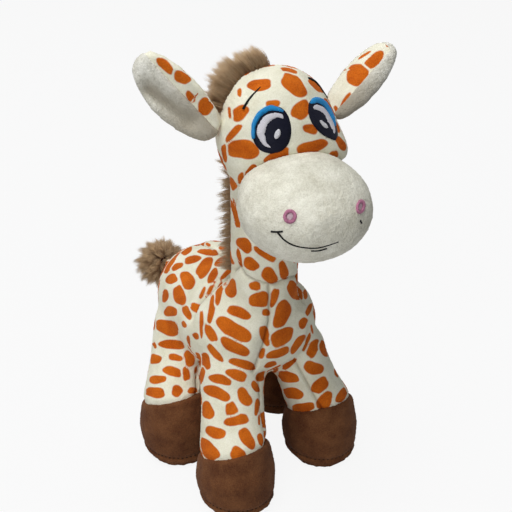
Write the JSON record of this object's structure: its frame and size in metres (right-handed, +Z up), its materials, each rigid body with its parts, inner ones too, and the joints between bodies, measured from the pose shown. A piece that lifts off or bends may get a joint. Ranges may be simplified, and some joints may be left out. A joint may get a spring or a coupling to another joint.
{
  "type": "stuffed toy giraffe",
  "caption": "Standing stuffed toy giraffe in patched short-pile plush, with a broad plain muzzle, brown feet, fur mane and tail tuft, and sprung seams at neck, ears, legs and tail.",
  "frame": {"origin": "on the floor, under the middle of the toy's box", "axes": "+Z up; the toy faces -Y and its own left is +X"},
  "size_m": [0.1324, 0.2064, 0.2504],
  "materials": {
    "printed_pile": "short polyester pile, cream with printed orange-brown patches",
    "plain_pile": "short polyester pile, plain cream",
    "brown_pile": "short polyester pile, dark brown",
    "brown_fur": "longer brown fur pile, brushed up",
    "fibre_fill": "packed white polyester fibre",
    "eye_thread": "satin-stitched embroidery thread, dark navy with white and blue",
    "pink_thread": "satin-stitched embroidery thread, pink"
  },
  "bodies": {
    "torso": {"body_panel_left": "printed_pile", "body_panel_right": "printed_pile", "body_filling": "fibre_fill"},
    "neck": {"neck_cover": "printed_pile", "neck_filling": "fibre_fill", "neck_mane": "brown_fur"},
    "head": {"head_cover": "printed_pile", "muzzle_cover": "plain_pile", "head_filling": "fibre_fill", "forelock": "brown_fur", "eye_left": "eye_thread", "eye_right": "eye_thread", "nostril_left": "pink_thread", "nostril_right": "pink_thread"},
    "ear_left": {"ear_back_left": "printed_pile", "ear_lining_left": "plain_pile"},
    "ear_right": {"ear_back_right": "printed_pile", "ear_lining_right": "plain_pile"},
    "tail": {"tail_stub": "printed_pile", "tail_tuft": "brown_fur"},
    "leg_front_left": {"leg_cover_front_left": "printed_pile", "leg_filling_front_left": "fibre_fill", "hoof_cover_front_left": "brown_pile", "hoof_sole_front_left": "brown_pile"},
    "leg_front_right": {"leg_cover_front_right": "printed_pile", "leg_filling_front_right": "fibre_fill", "hoof_cover_front_right": "brown_pile", "hoof_sole_front_right": "brown_pile"},
    "leg_rear_left": {"leg_cover_rear_left": "printed_pile", "leg_filling_rear_left": "fibre_fill", "hoof_cover_rear_left": "brown_pile", "hoof_sole_rear_left": "brown_pile"},
    "leg_rear_right": {"leg_cover_rear_right": "printed_pile", "leg_filling_rear_right": "fibre_fill", "hoof_cover_rear_right": "brown_pile", "hoof_sole_rear_right": "brown_pile"}
  },
  "joints": [
    {"name": "neck_nod", "type": "hinge", "parent": "torso", "child": "neck", "pos_m": [-0.0028, -0.0313, 0.118], "axis": [1, 0, 0], "range_deg": [-12, 12], "stiffness_Nm_per_rad": 1.5},
    {"name": "head_turn", "type": "hinge", "parent": "neck", "child": "head", "pos_m": [-0.0028, -0.0313, 0.192], "axis": [0, 0, 1], "range_deg": [-20, 20], "stiffness_Nm_per_rad": 0.3},
    {"name": "ear_left_flap", "type": "hinge", "parent": "head", "child": "ear_left", "pos_m": [0.02557, -0.0469, 0.2105], "axis": [-0.3495, 0.8765, 0.331], "range_deg": [-12, 12], "stiffness_Nm_per_rad": 0.05},
    {"name": "ear_right_flap", "type": "hinge", "parent": "head", "child": "ear_right", "pos_m": [-0.03437, -0.03848, 0.2105], "axis": [0.6185, -0.3698, 0.6933], "range_deg": [-12, 12], "stiffness_Nm_per_rad": 0.05},
    {"name": "tail_wag", "type": "hinge", "parent": "torso", "child": "tail", "pos_m": [-0.0028, 0.0605, 0.084], "axis": [1, 0, 0], "range_deg": [-15, 20], "stiffness_Nm_per_rad": 0.05},
    {"name": "leg_front_left_swing", "type": "hinge", "parent": "torso", "child": "leg_front_left", "pos_m": [0.0182, -0.0313, 0.068], "axis": [1, 0, 0], "range_deg": [-12, 3.5], "stiffness_Nm_per_rad": 0.5},
    {"name": "leg_front_right_swing", "type": "hinge", "parent": "torso", "child": "leg_front_right", "pos_m": [-0.0238, -0.0313, 0.068], "axis": [1, 0, 0], "range_deg": [-12, 3.5], "stiffness_Nm_per_rad": 0.5},
    {"name": "leg_rear_left_swing", "type": "hinge", "parent": "torso", "child": "leg_rear_left", "pos_m": [0.0177, 0.0237, 0.07], "axis": [1, 0, 0], "range_deg": [-3.5, 12], "stiffness_Nm_per_rad": 0.5},
    {"name": "leg_rear_right_swing", "type": "hinge", "parent": "torso", "child": "leg_rear_right", "pos_m": [-0.0233, 0.0237, 0.07], "axis": [1, 0, 0], "range_deg": [-3.5, 12], "stiffness_Nm_per_rad": 0.5}
  ]
}
